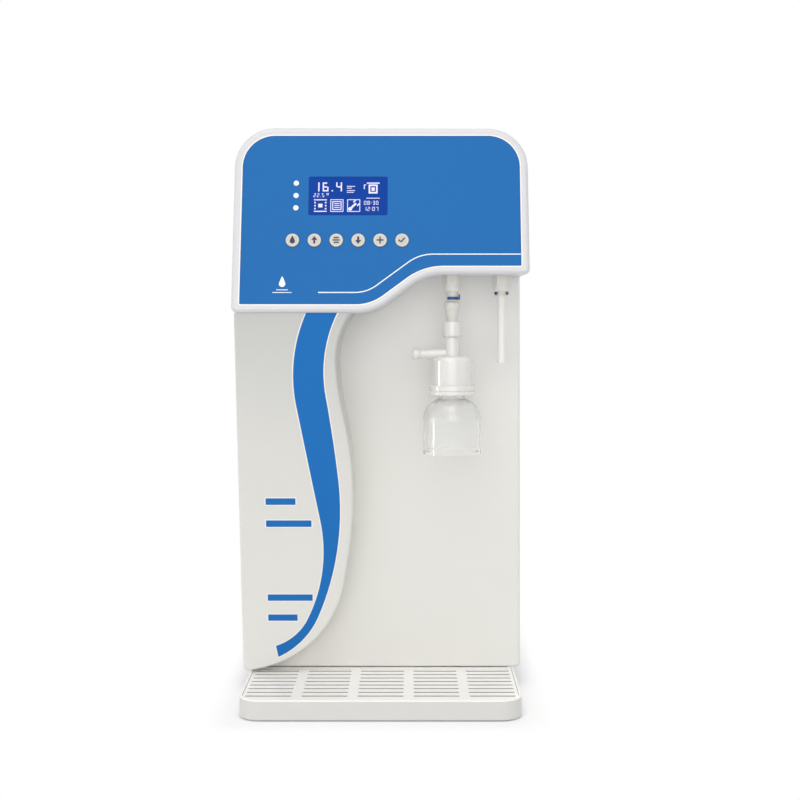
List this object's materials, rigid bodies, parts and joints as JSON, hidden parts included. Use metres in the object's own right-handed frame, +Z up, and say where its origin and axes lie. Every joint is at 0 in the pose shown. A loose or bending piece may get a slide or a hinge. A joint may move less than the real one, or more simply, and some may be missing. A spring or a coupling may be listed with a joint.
{
  "type": "desktop laboratory water purifier",
  "caption": "Desktop lab water purifier: overhanging control head with display and push buttons, wave-shaped column, outlet with capsule filter and bell, plain outlet tube, slotted drip tray.",
  "frame": {"origin": "on the bench, under the middle of the overall box", "axes": "+Z up, the front with head, outlets and tray looks along -Y, +X to the right of someone facing the front"},
  "size_m": [0.282, 0.458, 0.556],
  "materials": {
    "white_casing": "smooth white moulded plastic, satin gloss",
    "steel_sheet": "folded sheet, fine grey-white powder coat",
    "galvanised": "folded sheet steel",
    "blue_panel": "blue film overlay, semi gloss",
    "blue_inlay": "blue inlay",
    "dark_display": "clear window over a blue display",
    "display_body": "black module",
    "clear_light": "white light pipe",
    "button_grey": "light grey keycap",
    "rubber_dark": "black rubber",
    "tray_white": "white moulded plastic",
    "fitting_white": "off-white moulded plastic",
    "clip_blue": "blue moulded clip",
    "filter_white": "white moulded filter",
    "clear_bell": "clear moulded plastic",
    "tube_white": "white tube",
    "cartridge_white": "white cartridge",
    "lamp_steel": "polished steel tube",
    "clip_grey": "grey clip",
    "pump_black": "black pump head",
    "motor_steel": "plated steel can",
    "supply_metal": "aluminium case",
    "valve_black": "moulded valve",
    "line_blue": "plastic line",
    "line_white": "plastic line",
    "board_green": "circuit board",
    "inlet_black": "black moulded inlet",
    "brass_pins": "plated brass",
    "collet_grey": "grey collet",
    "screw_steel": "zinc-plated steel"
  },
  "bodies": {
    "chassis": {"base_pan": "galvanised", "cabinet_feet": "rubber_dark", "partition_plate": "galvanised", "rear_panel": "steel_sheet", "left_side_cover": "white_casing", "right_side_cover": "white_casing", "top_cover": "white_casing", "front_panel": "white_casing", "column_cover": "white_casing", "column_swoosh": "blue_inlay", "column_bars": "blue_inlay", "head_cowl": "white_casing", "control_overlay": "blue_panel", "display_window": "dark_display", "display_module": "display_body", "status_light_pipes": "clear_light", "control_board": "board_green", "left_outlet_fitting": "fitting_white", "right_outlet_fitting": "fitting_white", "outlet_locknuts": "fitting_white", "outlet_collets": "fitting_white", "pretreatment_cartridge": "cartridge_white", "polishing_cartridges": "cartridge_white", "cartridge_heads": "cartridge_white", "ro_membrane_housing": "cartridge_white", "uv_lamp_housing": "lamp_steel", "holder_clips": "clip_grey", "pump_head": "pump_black", "pump_motor_can": "motor_steel", "pump_cradle": "rubber_dark", "power_supply": "supply_metal", "solenoid_valves": "valve_black", "conductivity_cell": "fitting_white", "internal_tubing": "line_white", "power_inlet": "inlet_black", "inlet_pins": "brass_pins", "rear_ports": "fitting_white", "case_screws": "screw_steel"},
    "drip_tray": {"drip_tray": "tray_white", "tray_feet": "rubber_dark"},
    "drip_grille": {"drip_grille": "tray_white"},
    "filter_stem": {"filter_stem": "fitting_white"},
    "filter_capsule": {"filter_nut": "filter_white", "filter_capsule": "filter_white"},
    "filter_vent_cap": {"filter_vent_cap": "filter_white"},
    "filter_bell": {"filter_bell": "clear_bell"},
    "dispensing_tube": {"dispensing_tube": "tube_white"},
    "left_collet_clip": {"left_collet_clip": "clip_blue"},
    "right_collet_clip": {"right_collet_clip": "clip_blue"},
    "pump_rotor": {"pump_rotor": "lamp_steel"},
    "power_rocker": {"power_rocker": "inlet_black"},
    "feed_port_collet": {"feed_port_collet": "collet_grey"},
    "tank_port_collet": {"tank_port_collet": "collet_grey"},
    "drain_port_collet": {"drain_port_collet": "collet_grey"},
    "button_1": {"button_1": "button_grey"},
    "button_2": {"button_2": "button_grey"},
    "button_3": {"button_3": "button_grey"},
    "button_4": {"button_4": "button_grey"},
    "button_5": {"button_5": "button_grey"},
    "button_6": {"button_6": "button_grey"}
  },
  "joints": [
    {"name": "button_1_press", "type": "slide", "parent": "chassis", "child": "button_1", "axis": [0, 0.9787, -0.2055], "range_m": [0, 0.001], "stiffness_N_per_m": 800},
    {"name": "button_2_press", "type": "slide", "parent": "chassis", "child": "button_2", "axis": [0, 0.9787, -0.2055], "range_m": [0, 0.001], "stiffness_N_per_m": 800},
    {"name": "button_3_press", "type": "slide", "parent": "chassis", "child": "button_3", "axis": [0, 0.9787, -0.2055], "range_m": [0, 0.001], "stiffness_N_per_m": 800},
    {"name": "button_4_press", "type": "slide", "parent": "chassis", "child": "button_4", "axis": [0, 0.9787, -0.2055], "range_m": [0, 0.001], "stiffness_N_per_m": 800},
    {"name": "button_5_press", "type": "slide", "parent": "chassis", "child": "button_5", "axis": [0, 0.9787, -0.2055], "range_m": [0, 0.001], "stiffness_N_per_m": 800},
    {"name": "button_6_press", "type": "slide", "parent": "chassis", "child": "button_6", "axis": [0, 0.9787, -0.2055], "range_m": [0, 0.001], "stiffness_N_per_m": 800},
    {"name": "tray_pull", "type": "slide", "parent": "chassis", "child": "drip_tray", "axis": [0, -1, 0], "range_m": [0, 0.09]},
    {"name": "grille_tip", "type": "hinge", "parent": "drip_tray", "child": "drip_grille", "pos_m": [0, -0.10875, 0.0169], "axis": [-1, 0, 0], "range_deg": [0, 5]},
    {"name": "filter_pull", "type": "slide", "parent": "chassis", "child": "filter_stem", "axis": [0, 0, -1], "range_m": [0, 0.04]},
    {"name": "filter_swivel", "type": "hinge", "parent": "filter_stem", "child": "filter_capsule", "pos_m": [0.0683, -0.162, 0.3691], "axis": [0, 0, 1], "continuous": true},
    {"name": "vent_cap_turn", "type": "hinge", "parent": "filter_capsule", "child": "filter_vent_cap", "pos_m": [0.0373, -0.162, 0.3376], "axis": [-1, 0, 0], "range_deg": [0, 360]},
    {"name": "bell_pull", "type": "slide", "parent": "filter_capsule", "child": "filter_bell", "axis": [0, 0, -1], "range_m": [0, 0.04]},
    {"name": "dispensing_tube_pull", "type": "slide", "parent": "chassis", "child": "dispensing_tube", "axis": [0, 0, -1], "range_m": [0, 0.04]},
    {"name": "left_clip_pull", "type": "slide", "parent": "chassis", "child": "left_collet_clip", "axis": [1, 0, 0], "range_m": [0, 0.016]},
    {"name": "right_clip_pull", "type": "slide", "parent": "chassis", "child": "right_collet_clip", "axis": [0, 1, 0], "range_m": [0, 0.016]},
    {"name": "pump_spin", "type": "hinge", "parent": "chassis", "child": "pump_rotor", "pos_m": [-0.07, 0.02, 0.056], "axis": [0, 1, 0], "continuous": true},
    {"name": "power_switch", "type": "hinge", "parent": "chassis", "child": "power_rocker", "pos_m": [-0.088, 0.201, 0.076], "axis": [1, 0, 0], "range_deg": [0, 20]},
    {"name": "feed_collet_press", "type": "slide", "parent": "chassis", "child": "feed_port_collet", "axis": [0, -1, 0], "range_m": [0, 0.0012]},
    {"name": "tank_collet_press", "type": "slide", "parent": "chassis", "child": "tank_port_collet", "axis": [0, -1, 0], "range_m": [0, 0.0012]},
    {"name": "drain_collet_press", "type": "slide", "parent": "chassis", "child": "drain_port_collet", "axis": [0, -1, 0], "range_m": [0, 0.0012]}
  ]
}
